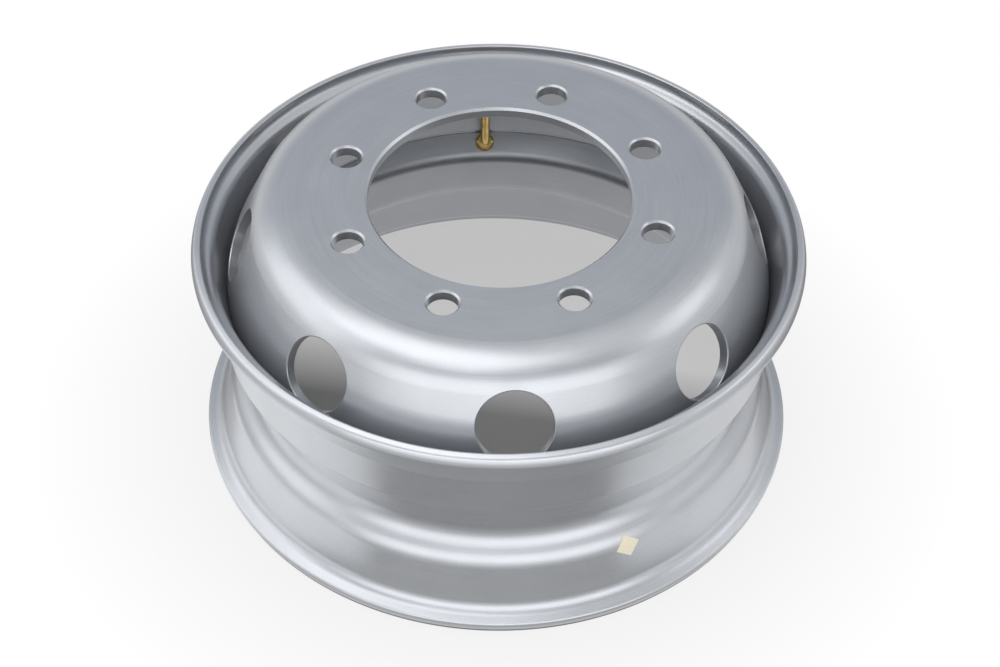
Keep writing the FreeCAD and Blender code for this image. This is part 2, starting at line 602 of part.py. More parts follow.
def make_cap():
    """Screwed cap over the stem's tip, with grip flutes."""
    low = "(dims.core_depth - dims.cap_skirt)"
    ceiling = "(dims.core_depth + dims.cap_seal_plate)"
    top = "(dims.core_depth + dims.cap_seal_plate + dims.cap_top)"
    inner, outer = "(dims.stem_radius + dims.cap_gap)", "dims.cap_radius"
    body = core_body("valve_cap")
    rounding = "(min(dims.cap_rounding; 0.8*dims.cap_top))"
    revolve(body, [("0", ceiling), (inner, ceiling), (inner, low), (outer, low), (outer, top, rounding),
                   ("0", top)])
    flute = new_sketch(body, "XY_Plane", "Flute")
    flute.setExpression("AttachmentOffset.Base.z", top)
    circle(flute, outer, "0", "dims.cap_flute_radius")
    groove = cut_through(body, flute, "(2*(dims.cap_skirt + dims.cap_top))")
    pattern(body, groove, "dims.cap_flute_count")
    return body


def make_cap_seal():
    body = core_body("cap_seal")
    revolve(body, tube_points("dims.cap_seal_hole_radius", "dims.stem_radius", "dims.core_depth",
                              "(dims.core_depth + dims.cap_seal_plate)"))
    return body


def make_sticker():
    """Square of paper stuck over the rounded end of the lower bead seat."""
    glue, paper = "dims.sticker_glue", "dims.sticker_paper"
    skins = []
    for distance in (glue, f"({glue} + {paper})"):
        outward = f"(-{distance})"
        corner = offset_corner(SEAT_END, f"-{SEAT}", f"-{RAMP}", outward)
        reach = "dims.sticker_side"
        seat_side = (f"({corner[0]} + {reach}*sin({SEAT}))", f"({corner[1]} - {reach}*cos({SEAT}))")
        ramp_side = (f"({corner[0]} - {reach}*sin({RAMP}))", f"({corner[1]} + {reach}*cos({RAMP}))")
        skins.append((seat_side, (*corner, f"(dims.seat_end_rounding + {distance})"), ramp_side))
    under, over = skins
    body = new_body("paper_sticker")
    body.Placement = Placement(Vector(0, 0, 0), Rotation(Vector(0, 0, 1), value_of("dims.sticker_azimuth")))
    body.setExpression("Placement.Rotation.Angle", "dims.sticker_azimuth")
    strip = revolve(body, [*under, *over[::-1]])
    strip.setExpression("Angle", "dims.sticker_blank")
    strip.Midplane = True
    doc.recompute()
    lean = f"(({SEAT} + {RAMP})/2)"
    sketch = new_sketch(body, "YZ_Plane", "Trim")
    sketch.AttachmentOffset = Placement(Vector(0, 0, 0), Rotation(Vector(-1, 0, 0), value_of(lean)))
    for path, expression in (("Base.y", SEAT_END[1]), ("Base.z", SEAT_END[0]), ("Rotation.Angle", lean)):
        sketch.setExpression(f"AttachmentOffset.{path}", expression)
    corner = "(dims.sticker_side/sqrt(2))"
    turns = [f"(dims.sticker_turn + {angle})" for angle in (45, 135, 225, 315)]
    outline(sketch, [(f"({corner}*cos({turn}))", f"({corner}*sin({turn}))") for turn in turns])
    circle(sketch, "0", "0", f"(dims.cut_reach*{corner})")
    cut_through(body, sketch, f"(dims.cut_reach*{corner})")
    return body


def check(part):
    shape = part.Shape
    if shape.isNull() or not shape.isValid() or len(shape.Solids) != 1:
        raise RuntimeError(f"{part.Label} is not one valid solid")


parts = [make_rim(), make_disc(), make_weld(), make_valve_stem(), make_grommet(), make_washer(), make_nut(),
         make_core_barrel(), make_core_ring(), make_pin(), make_pin_seal(), make_spring(), make_cap(),
         make_cap_seal(), make_sticker()]
doc.recompute()
for item in doc.Objects:
    if "Invalid" in item.State or "Error" in item.State:
        raise RuntimeError(f"{item.Label}: {item.State}")
for part in parts:
    check(part)
os.makedirs("parts", exist_ok=True)
for part in parts:
    part.Shape.exportStep(f"parts/{part.Label}.step")
    print(part.Label, round(part.Shape.Volume, 2), part.Shape.BoundBox)
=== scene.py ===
"""Looks of a truck steel wheel: silver paint on the rolled rim and pressed disc, and a brass tyre valve.

Everything is in metres in the wheel's own frame: +Z is the axis, the wheel lies on the floor at Z = 0,
and the valve stands at +Y.
"""
import math

import bmesh
import bpy
from mathutils import Matrix, Vector


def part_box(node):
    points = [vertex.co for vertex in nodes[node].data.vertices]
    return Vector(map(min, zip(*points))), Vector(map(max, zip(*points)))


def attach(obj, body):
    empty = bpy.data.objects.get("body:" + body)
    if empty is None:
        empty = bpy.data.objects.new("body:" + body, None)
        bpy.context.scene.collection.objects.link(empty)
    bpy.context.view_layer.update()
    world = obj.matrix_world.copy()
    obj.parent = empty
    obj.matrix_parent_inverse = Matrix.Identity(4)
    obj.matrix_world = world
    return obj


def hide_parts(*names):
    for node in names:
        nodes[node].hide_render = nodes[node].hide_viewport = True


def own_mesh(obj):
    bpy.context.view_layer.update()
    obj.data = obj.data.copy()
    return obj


MM = 0.001
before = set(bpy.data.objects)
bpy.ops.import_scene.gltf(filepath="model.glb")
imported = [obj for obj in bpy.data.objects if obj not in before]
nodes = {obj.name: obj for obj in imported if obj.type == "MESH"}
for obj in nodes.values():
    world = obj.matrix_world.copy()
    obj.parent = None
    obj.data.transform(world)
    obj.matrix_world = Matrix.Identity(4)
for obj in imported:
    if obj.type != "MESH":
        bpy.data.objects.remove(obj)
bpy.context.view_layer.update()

# The camera stands where the photograph was taken: its azimuth is measured from -Y round the wheel's axis
IMAGE_WIDTH = 1000
SENSOR_WIDTH = 36.0
FOCAL_PIXELS = 2318.4
CAMERA_AZIMUTH = math.radians(-3.98)
CAMERA_ELEVATION = math.radians(45.19)
CAMERA_DISTANCE = 2047.8 * MM
CAMERA_ROLL = math.radians(0.997)
CAMERA_AIM = Vector((2.2, -0.15, 92.94)) * MM


def make_camera():
    """Camera with the photograph's lens, place and slight roll."""
    data = bpy.data.cameras.new("camera")
    data.sensor_width = SENSOR_WIDTH
    data.lens = FOCAL_PIXELS * SENSOR_WIDTH / IMAGE_WIDTH
    camera = bpy.data.objects.new("camera", data)
    bpy.context.scene.collection.objects.link(camera)
    flat = math.cos(CAMERA_ELEVATION)
    back = Vector((
        flat * math.sin(CAMERA_AZIMUTH),
        -flat * math.cos(CAMERA_AZIMUTH),
        math.sin(CAMERA_ELEVATION),
    ))
    right = Vector((0, 0, 1)).cross(back).normalized()
    up = back.cross(right)
    turned_right = right * math.cos(CAMERA_ROLL) + up * math.sin(CAMERA_ROLL)
    turned_up = up * math.cos(CAMERA_ROLL) - right * math.sin(CAMERA_ROLL)
    axes = Matrix((turned_right, turned_up, back)).transposed()
    camera.matrix_world = Matrix.Translation(CAMERA_AIM + back * CAMERA_DISTANCE) @ axes.to_4x4()
    bpy.context.scene.camera = camera


# Share of the radius that counts, beside the height, across the marks that forming leaves round the axis
FORMING_SLANT = 0.6


class Nodes:
    """Short way to build one material's node tree."""

    def __init__(self, name):
        self.material = bpy.data.materials.new(name)
        self.material.use_nodes = True
        self.tree = self.material.node_tree
        self.tree.nodes.clear()
        self.output = self.add("ShaderNodeOutputMaterial")

    def add(self, kind, **settings):
        """New node with some of its settings."""
        node = self.tree.nodes.new(kind)
        for key, value in settings.items():
            setattr(node, key, value)
        return node

    def link(self, source, target):
        self.tree.links.new(source, target)

    def feed(self, socket, value):
        """Links a socket, or sets its value."""
        if isinstance(value, bpy.types.NodeSocket):
            self.link(value, socket)
        else:
            socket.default_value = value

    def place(self, scale=(1, 1, 1)):
        """Object coordinates, stretched."""
        coordinates = self.add("ShaderNodeTexCoord")
        mapping = self.add("ShaderNodeMapping")
        mapping.inputs["Scale"].default_value = scale
        self.link(coordinates.outputs["Object"], mapping.inputs["Vector"])
        return mapping.outputs["Vector"]

    def rings(self, along, across):
        """Coordinates that change slowly round the axis and quickly across a turned surface."""
        position = self.add("ShaderNodeSeparateXYZ")
        self.link(self.place(), position.inputs[0])
        flat = self.place((1, 1, 0))
        heading = self.add("ShaderNodeVectorMath", operation="NORMALIZE")
        self.link(flat, heading.inputs[0])
        radius = self.add("ShaderNodeVectorMath", operation="LENGTH")
        self.link(flat, radius.inputs[0])
        turned = self.add("ShaderNodeSeparateXYZ")
        self.link(heading.outputs["Vector"], turned.inputs[0])
        slanted = self.math("MULTIPLY", radius.outputs["Value"], FORMING_SLANT)
        run = self.math("SUBTRACT", slanted, position.outputs["Z"])
        joined = self.add("ShaderNodeCombineXYZ")
        self.link(self.math("MULTIPLY", turned.outputs["X"], along), joined.inputs["X"])
        self.link(self.math("MULTIPLY", turned.outputs["Y"], along), joined.inputs["Y"])
        self.link(self.math("MULTIPLY", run, across), joined.inputs["Z"])
        return joined.outputs["Vector"]

    def noise(self, vector, scale, detail=2.0):
        texture = self.add("ShaderNodeTexNoise")
        texture.inputs["Scale"].default_value = scale
        texture.inputs["Detail"].default_value = detail
        self.link(vector, texture.inputs["Vector"])
        return texture.outputs["Fac"]

    def spread(self, value, low, high, out_low=0.0, out_high=1.0):
        """Stretches a value from one range to another, kept inside it."""
        node = self.add("ShaderNodeMapRange", clamp=True)
        node.inputs["From Min"].default_value = low
        node.inputs["From Max"].default_value = high
        node.inputs["To Min"].default_value = out_low
        node.inputs["To Max"].default_value = out_high
        self.link(value, node.inputs["Value"])
        return node.outputs["Result"]

    def math(self, operation, first, second=0.0):
        node = self.add("ShaderNodeMath", operation=operation)
        self.feed(node.inputs[0], first)
        self.feed(node.inputs[1], second)
        return node.outputs["Value"]

    def mix(self, factor, first, second):
        """Mix of two colours."""
        node = self.add("ShaderNodeMix", data_type="RGBA")
        self.feed(node.inputs["Factor"], factor)
        for socket, value in ((node.inputs["A"], first), (node.inputs["B"], second)):
            self.feed(socket, value if isinstance(value, bpy.types.NodeSocket) else (*value, 1.0))
        return node.outputs["Result"]

    def bump(self, height, distance, strength=1.0):
        node = self.add("ShaderNodeBump")
        node.inputs["Distance"].default_value = distance
        node.inputs["Strength"].default_value = strength
        self.link(height, node.inputs["Height"])
        return node.outputs["Normal"]

    def emission(self, colour):
        node = self.add("ShaderNodeEmission")
        node.inputs["Color"].default_value = (*colour, 1.0)
        return node.outputs["Emission"]

    def mix_shaders(self, factor, first, second):
        """Final shader of a stage material."""
        node = self.add("ShaderNodeMixShader")
        self.link(factor, node.inputs["Fac"])
        self.link(first, node.inputs[1])
        self.link(second, node.inputs[2])
        self.link(node.outputs["Shader"], self.output.inputs["Surface"])
        return self.material

    def principled(self, **inputs):
        """Final shader; keys are socket names with underscores for spaces."""
        shader = self.add("ShaderNodeBsdfPrincipled")
        for key, value in inputs.items():
            socket = shader.inputs[key.replace("_", " ")]
            if isinstance(value, tuple) and len(value) == 3:
                value = (*value, 1.0)
            self.feed(socket, value)
        self.link(shader.outputs["BSDF"], self.output.inputs["Surface"])
        return self.material


PAINT = (0.436, 0.451, 0.478)
PAINT_PALE = (0.498, 0.514, 0.542)
PAINT_DEEP = (0.384, 0.397, 0.420)
PAINT_SPARKLE = 0.5
PAINT_STREAKS = 0.2
PAINT_ROUGHNESS = (0.30, 0.39)


def silver_paint(name):
    """Satin silver paint: fine flake, faint clouds, forming marks round the axis and a slight orange peel."""
    tree = Nodes(name)
    place = tree.place()
    flake = tree.spread(tree.noise(place, scale=1900.0, detail=1.0), low=0.36, high=0.64)
    cloud = tree.spread(tree.noise(place, scale=26.0, detail=3.0), low=0.32, high=0.68)
    streak = tree.spread(tree.noise(tree.rings(along=2.0, across=700.0), scale=1.0), low=0.34, high=0.66)
    body = tree.mix(cloud, PAINT_DEEP, PAINT)
    sparkle = tree.mix(flake, PAINT_DEEP, PAINT_PALE)
    drawn = tree.mix(streak, PAINT_DEEP, PAINT_PALE)
    colour = tree.mix(PAINT_STREAKS, tree.mix(PAINT_SPARKLE, body, sparkle), drawn)
    rough = tree.spread(tree.math("ADD", flake, streak), 0.0, 2.0, *PAINT_ROUGHNESS)
    peel = tree.bump(tree.noise(place, scale=420.0, detail=1.0), distance=0.00005, strength=0.2)
    return tree.principled(Base_Color=colour, Metallic=0.76, Roughness=rough, Normal=peel,
                           Coat_Weight=0.15, Coat_Roughness=0.2)


BRASS_BRIGHT = (0.74, 0.53, 0.20)
BRASS_DULL = (0.40, 0.27, 0.09)
BRASS_DARK = (0.16, 0.11, 0.05)
BRASS_ROUGHNESS = (0.18, 0.30)


def brass(name, bright, dull, tarnish):
    """Turned brass with a little tarnish."""
    tree = Nodes(name)
    cloud = tree.spread(tree.noise(tree.place(), scale=160.0), low=0.35, high=0.68)
    colour = tree.mix(tree.math("MULTIPLY", cloud, tarnish), bright, dull)
    turning = tree.noise(tree.place((1.0, 1.0, 14.0)), scale=900.0, detail=1.0)
    rough = tree.spread(cloud, 0.0, 1.0, *BRASS_ROUGHNESS)
    marks = tree.bump(turning, distance=0.00003, strength=0.2)
    return tree.principled(Base_Color=colour, Metallic=1.0, Roughness=rough, Normal=marks)


STEEL_BRIGHT = (0.60, 0.60, 0.62)
STEEL_DULL = (0.45, 0.45, 0.465)
STEEL_ROUGHNESS = (0.25, 0.37)


def steel(name):
    """Plain bright steel."""
    tree = Nodes(name)
    cloud = tree.spread(tree.noise(tree.place(), scale=500.0), low=0.35, high=0.65)
    rough = tree.spread(cloud, 0.0, 1.0, *STEEL_ROUGHNESS)
    colour = tree.mix(cloud, STEEL_DULL, STEEL_BRIGHT)
    return tree.principled(Base_Color=colour, Metallic=1.0, Roughness=rough)


RUBBER_BLACK = (0.020, 0.020, 0.021)
RING_RED = (0.55, 0.09, 0.05)
CAP_BLACK = (0.022, 0.022, 0.024)
# The paler specks of a moulded grain: how much paler they are, and the least that they add
SPECK_GAIN = 1.35
SPECK_LIFT = 0.004


def moulded(name, colour, roughness, grain):
    """Rubber or plastic with a fine moulded grain."""
    tree = Nodes(name)
    speckle = tree.noise(tree.place(), scale=grain)
    paler = tuple(SPECK_GAIN * channel + SPECK_LIFT for channel in colour)
    tint = tree.mix(tree.spread(speckle, low=0.35, high=0.65), colour, paler)
    skin = tree.bump(speckle, distance=0.00006, strength=0.4)
    return tree.principled(Base_Color=tint, Roughness=roughness, Normal=skin)


PAPER_CREAM = (0.84, 0.79, 0.64)
PAPER_SHADED = (0.72, 0.66, 0.50)


def paper(name):
    """Cream paper, slightly uneven."""
    tree = Nodes(name)
    fibre = tree.noise(tree.place(), scale=1400.0, detail=3.0)
    tint = tree.mix(tree.spread(fibre, low=0.3, high=0.7), PAPER_SHADED, PAPER_CREAM)
    skin = tree.bump(fibre, distance=0.00005, strength=0.3)
    return tree.principled(Base_Color=tint, Roughness=0.85, Normal=skin)


def dress(node, material):
    """Gives a CAD node one material."""
    mesh = nodes[node].data
    mesh.materials.clear()
    mesh.materials.append(material)


def dress_nodes():
    """Gives each CAD node its material."""
    dress("rim", silver_paint("rim_paint"))
    dress("disc", silver_paint("disc_paint"))
    dress("disc_weld", silver_paint("weld_paint"))
    for node in ("valve_stem", "valve_nut", "core_barrel"):
        dress(node, brass(f"{node}_brass", BRASS_BRIGHT, BRASS_DULL, tarnish=0.5))
    dress("valve_washer", brass("washer_brass", BRASS_DULL, BRASS_DARK, tarnish=0.8))
    dress("core_pin", steel("pin_steel"))
    dress("core_spring", steel("spring_steel"))
    for node in ("valve_grommet", "core_seal", "cap_seal"):
        dress(node, moulded(f"{node}_rubber", RUBBER_BLACK, roughness=0.65, grain=700.0))
    dress("core_ring", moulded("ring_plastic", RING_RED, roughness=0.45, grain=900.0))
    dress("valve_cap", moulded("cap_plastic", CAP_BLACK, roughness=0.48, grain=1100.0))
    dress("paper_sticker", paper("sticker_paper"))


# The rim's corners on the tyre's side, in millimetres: radius, height, rounding, rounding on the open side
RIM_CORNERS = [
    (260.4, 11.4, 3.0, 0.0),
    (246.75, 16.35, 14.0, 9.0),
    (235.3, 62.3, 24.0, 18.0),
    (218.0, 76.5, 24.0, 18.0),
    (218.0, 111.5, 10.0, 16.0),
    (238.5, 132.0, 2.0, 2.0),
    (238.5, 166.552, 5.0, 11.0),
    (246.75, 199.65, 14.0, 9.0),
    (260.4, 204.6, 3.0, 0.0),
]
# The lip that ends each flange: radius, depth below the rim's end, rounding
RIM_LIP = [(259.7, 6.5, 12.0), (257.4, 1.6, 5.0), (251.6, -0.3, 1.6), (250.7, 8.4, 7.0)]
RIM_HEIGHT = 216.0
RIM_WALL = 6.0
RIM_SEGMENTS = 288
ARC_STEP = math.radians(9)
SHARP_ANGLE = math.radians(40)
VALVE_HOLE_RADIUS = 4.85
VALVE_HOLE_LENGTH = 24.0
VALVE_HOLE_SEGMENTS = 64
VALVE_TILT = math.radians(45)


def rim_outline(corners, wall):
    """Corners of the rim's closed section: tyre's side, upper lip, open side and lower lip."""
    spots = [Vector(corner[:2]) for corner in corners]
    runs = [(after - before).normalized() for before, after in zip(spots, spots[1:])]
    sides = [Vector((-run.y, run.x)) for run in runs]
    sides = [sides[0], *sides, sides[-1]]
    skin = [corner[:3] for corner in corners]
    lining = []
    for spot, corner, before, after in zip(spots, corners, sides, sides[1:]):
        inner = spot + (before + after) * (wall / (1 + before.dot(after)))
        lining.append((inner.x, inner.y, corner[3]))
    upper_lip = [(radius, RIM_HEIGHT - depth, rounding) for radius, depth, rounding in RIM_LIP]
    return [*skin, *upper_lip, *lining[-2:0:-1], *RIM_LIP[::-1]]


def rounded(corners):
    """Points of a closed outline whose corners are (x, y, radius)."""
    points = []
    for index, (x, y, radius) in enumerate(corners):
        spot = Vector((x, y))
        back = (Vector(corners[index - 1][:2]) - spot).normalized()
        ahead = (Vector(corners[(index + 1) % len(corners)][:2]) - spot).normalized()
        half = back.angle(ahead) / 2
        centre = spot + (back + ahead).normalized() * (radius / math.sin(half))
        first = spot + back * (radius / math.tan(half)) - centre
        last = spot + ahead * (radius / math.tan(half)) - centre
        start = math.atan2(first.y, first.x)
        sweep = math.remainder(math.atan2(last.y, last.x) - start, 2 * math.pi)
        steps = math.ceil(abs(sweep) / ARC_STEP)
        for step in range(steps + 1):
            angle = start + sweep * step / steps
            points.append(centre + radius * Vector((math.cos(angle), math.sin(angle))))
    return points


def new_piece(name, vertices, faces):
    """Smooth mesh object made from points in metres."""
    mesh = bpy.data.meshes.new(name)
    mesh.from_pydata(vertices, [], faces)
    mesh.shade_smooth()
    piece = bpy.data.objects.new(name, mesh)
    bpy.context.scene.collection.objects.link(piece)
    return piece


def on_wheel(radius, angle, height):
    """Point in metres from a radius and a height in millimetres."""
    return radius * MM * math.cos(angle), radius * MM * math.sin(angle), height * MM


def lathe(name, outline_at, segments):
    """Ring about the wheel's axis; outline_at(angle) gives its closed outline of (radius, height)."""
    vertices = []
    for turn in range(segments):
        angle = 2 * math.pi * turn / segments
        for radius, height in outline_at(angle):
            vertices.append(on_wheel(radius, angle, height))
    count = len(vertices) // segments
    faces = []
    for turn in range(segments):
        here = turn * count
        there = (turn + 1) % segments * count
        for index in range(count):
            after = (index + 1) % count
            faces.append((here + index, there + index, there + after, here + after))
    return new_piece(name, vertices, faces)


def settle(piece):
    """Makes the result of a piece's modifiers its mesh."""
    graph = bpy.context.evaluated_depsgraph_get()
    mesh = bpy.data.meshes.new_from_object(piece.evaluated_get(graph))
    piece.modifiers.clear()
    piece.data = mesh


def cut_valve_hole(piece):
    """Drills the rim square to its ramp, where the valve's grommet sits."""
    low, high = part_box("valve_grommet")
    drill = bmesh.new()
    stand = Matrix.Translation((low + high) / 2) @ Matrix.Rotation(VALVE_TILT, 4, "X")
    bmesh.ops.create_cone(drill, cap_ends=True, segments=VALVE_HOLE_SEGMENTS,
                          radius1=VALVE_HOLE_RADIUS * MM, radius2=VALVE_HOLE_RADIUS * MM,
                          depth=VALVE_HOLE_LENGTH * MM, matrix=stand)
    mesh = bpy.data.meshes.new("drill")
    drill.to_mesh(mesh)
    drill.free()
    cutter = bpy.data.objects.new("drill", mesh)
    bpy.context.scene.collection.objects.link(cutter)
    cut = piece.modifiers.new("cut", "BOOLEAN")
    cut.operation = "DIFFERENCE"
    cut.object = cutter
    settle(piece)
    bpy.data.objects.remove(cutter)


def even_shading(piece):
    """Keeps flat walls flat in shading beside their roundings."""
    piece.data.set_sharp_from_angle(angle=SHARP_ANGLE)
    even = piece.modifiers.new("even", "WEIGHTED_NORMAL")
    even.keep_sharp = True
    settle(piece)


def stand_in(piece, node, material):
    """A wheel piece that is shown in place of a CAD node."""
    piece.data.materials.clear()
    piece.data.materials.append(material)
    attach(piece, "wheel")
    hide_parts(node)


def make_rim(outline):
    """Rolled rim with the roundings of its sheet drawn finely."""
    rim = lathe("rolled_rim", lambda angle: outline, RIM_SEGMENTS)
    cut_valve_hole(rim)
    even_shading(rim)
    stand_in(rim, "rim", nodes["rim"].data.materials[0])


# The paper sticker, in millimetres: its side, thickness and glue, its turn and its place round the rim
STICKER_SIDE = 15.5
STICKER_PAPER = 0.2
STICKER_GLUE = 0.05
STICKER_TURN = math.radians(55.0)
STICKER_AZIMUTH = math.radians(-65.9)
STICKER_STEPS = 24


def walk(outline, start, length):
    """Point and outward side of an outline, a signed length along it from one of its points."""
    step = 1 if length >= 0 else -1
    index = start
    left = abs(length)
    while (outline[index + step] - outline[index]).length < left:
        left -= (outline[index + step] - outline[index]).length
        index += step
    run = (outline[index + step] - outline[index]).normalized()
    return outline[index] + run * left, Vector((run.y, -run.x)) * step


def sticker_points(outline, lift):
    """Rows of points of the sticker's sheet, at a lift from the rim's section."""
    low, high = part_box("paper_sticker")
    middle = (low.z + high.z) / 2 / MM
    seat_side = outline[:len(outline) // 2]
    start = min(range(len(seat_side)), key=lambda index: abs(seat_side[index].y - middle))
    start_gap = middle - seat_side[start].y
    points = []
    for row in range(STICKER_STEPS + 1):
        for column in range(STICKER_STEPS + 1):
            spot = Vector((row / STICKER_STEPS - 0.5, column / STICKER_STEPS - 0.5)) * STICKER_SIDE
            along = spot.x * math.cos(STICKER_TURN) - spot.y * math.sin(STICKER_TURN)
            climb = spot.x * math.sin(STICKER_TURN) + spot.y * math.cos(STICKER_TURN)
            point, side = walk(outline, start, climb + start_gap)
            point = point + side * lift
            points.append(on_wheel(point.x, STICKER_AZIMUTH + along / point.x, point.y))
    return points


def sticker_faces():
    """Faces of the sticker: its upper and lower sheet and the strip round its edge."""
    across = STICKER_STEPS + 1
    layer = across * across
    faces = []
    for row in range(STICKER_STEPS):
        for column in range(STICKER_STEPS):
            first = row * across + column
            square = (first, first + across, first + across + 1, first + 1)
            faces.append(tuple(corner + layer for corner in square))
            faces.append(square[::-1])
    edge = [row * across for row in range(STICKER_STEPS)]
    edge += [STICKER_STEPS * across + column for column in range(STICKER_STEPS)]
    edge += [row * across + STICKER_STEPS for row in range(STICKER_STEPS, 0, -1)]
    edge += list(range(STICKER_STEPS, 0, -1))
    for before, after in zip(edge, edge[1:] + edge[:1]):
        faces.append((before, after, after + layer, before + layer))
    return faces


def make_sticker(outline):
    """Square of paper pressed over the lower seat's rounded end."""
    under = sticker_points(outline, STICKER_GLUE)
    upper = sticker_points(outline, STICKER_GLUE + STICKER_PAPER)
    sticker = new_piece("laid_sticker", under + upper, sticker_faces())
    sticker.data.set_sharp_from_angle(angle=SHARP_ANGLE)
    stand_in(sticker, "paper_sticker", nodes["paper_sticker"].data.materials[0])


# The weld's corners in millimetres: its toe on the ramp, two corners behind it and its head on the skirt
WELD_TOE = Vector((228.914, 130.970))
WELD_BACK = [Vector((232.45, 134.506)), Vector((232.45, 137.45))]
WELD_HEAD = Vector((225.95, 137.45))
WELD_CROWN = 1.15
WELD_RIPPLE = 0.25
WELD_RIPPLES = 470
WELD_LAG = 0.45
WELD_FACE_STEPS = 10
WELD_STEPS_PER_RIPPLE = 6


def weld_outline(angle):
    """Outline of the weld at one angle: a crowned face with ripples whose ends lag behind their middle."""
    chord = WELD_TOE - WELD_HEAD
    outward = Vector((chord.y, -chord.x)).normalized()
    face = []
    for step in range(1, WELD_FACE_STEPS):
        share = step / WELD_FACE_STEPS
        wave = (WELD_RIPPLES * angle / (2 * math.pi) + WELD_LAG * (2 * share - 1) ** 2) % 1.0
        height = 4 * share * (1 - share) * (WELD_CROWN + WELD_RIPPLE * (1 - (2 * wave - 1) ** 2))
        face.append(WELD_HEAD + chord * share + outward * height)
    return [WELD_TOE, *WELD_BACK, WELD_HEAD, *face]


def make_weld():
    """Weld bead between skirt and rim, rippled by the torch's steps."""
    weld = lathe("rippled_weld", weld_outline, WELD_RIPPLES * WELD_STEPS_PER_RIPPLE)
    weld.data.set_sharp_from_angle(angle=SHARP_ANGLE)
    stand_in(weld, "disc_weld", nodes["disc_weld"].data.materials[0])


def make_spring():
    """Return spring of the valve core, shown as its own copy of the CAD node's mesh."""
    node = nodes["core_spring"]
    spring = bpy.data.objects.new("coil_spring", node.data.copy())
    bpy.context.scene.collection.objects.link(spring)
    spring.matrix_world = node.matrix_world
    stand_in(spring, "core_spring", node.data.materials[0])
    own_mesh(spring)


# Studio, in metres: a floor that the camera sees white and that melts into a white background, its own dark
# grey painted shade where reflections see it; and a grey card behind the wheel, painted shade that only
# reflections show
FLOOR_REACH = 6.0
# The floor's own dark grey is painted shade: reflections see it near the wheel and the camera sees it inside
# the wheel, while elsewhere the camera sees white
FLOOR_PAINTED_SHADE_GREY = (0.22, 0.22, 0.215)
FLOOR_ROUGHNESS = 0.35
FLOOR_SHEEN = 0.9
FLOOR_CONTACT = 0.257
FLOOR_SEEN_FAR = 0.42
FLOOR_SEEN_NEAR_WHITE = 0.86
# How far from the axis reflections see the painted white glow beside the rim
FLOOR_RIM_GLOW_EDGE = 0.285
FLOOR_MIRRORED_NEAR = 0.55
FLOOR_MIRRORED_FAR = 1.5
# A pool of light painted on the floor inside the wheel: its heading, where it starts and how far it grows,
# its least and most white, and its strength in reflections
PAINTED_POOL_HEADING = (0.22, 0.975, 0.0)
PAINTED_POOL_START = -0.012
PAINTED_POOL_REACH = 0.075
PAINTED_POOL_BASE = 0.07
PAINTED_POOL_WHITE = 0.50
PAINTED_POOL_MIRRORED = 1.45
# Grey card that only reflections see, as painted shade in them
CARD_PAINTED_SHADE = (0.57, 0.615, 0.69)
CARD_CENTRE = (0.0, 2.4, 2.175)
CARD_HALF_WIDTH = 3.2
CARD_HALF_HEIGHT = 1.425
# Painted shade behind the camera, a dim side of the studio that only reflections show: its grey, its
# distance, its heights and half its sweep
DIM_PAINTED_SHADE = (0.60, 0.62, 0.65)
DIM_REACH = 2.3
DIM_LOW = math.radians(36)
DIM_HIGH = math.radians(58)
DIM_SWEEP = math.radians(85)
DIM_STEPS = 17


def stage_sheet(name, corners, faces, material):
    """Sheet of the studio, which is no part of the wheel."""
    mesh = bpy.data.meshes.new(name)
    mesh.from_pydata(corners, [], faces)
    mesh.materials.append(material)
    sheet = bpy.data.objects.new(name, mesh)
    bpy.context.scene.collection.objects.link(sheet)


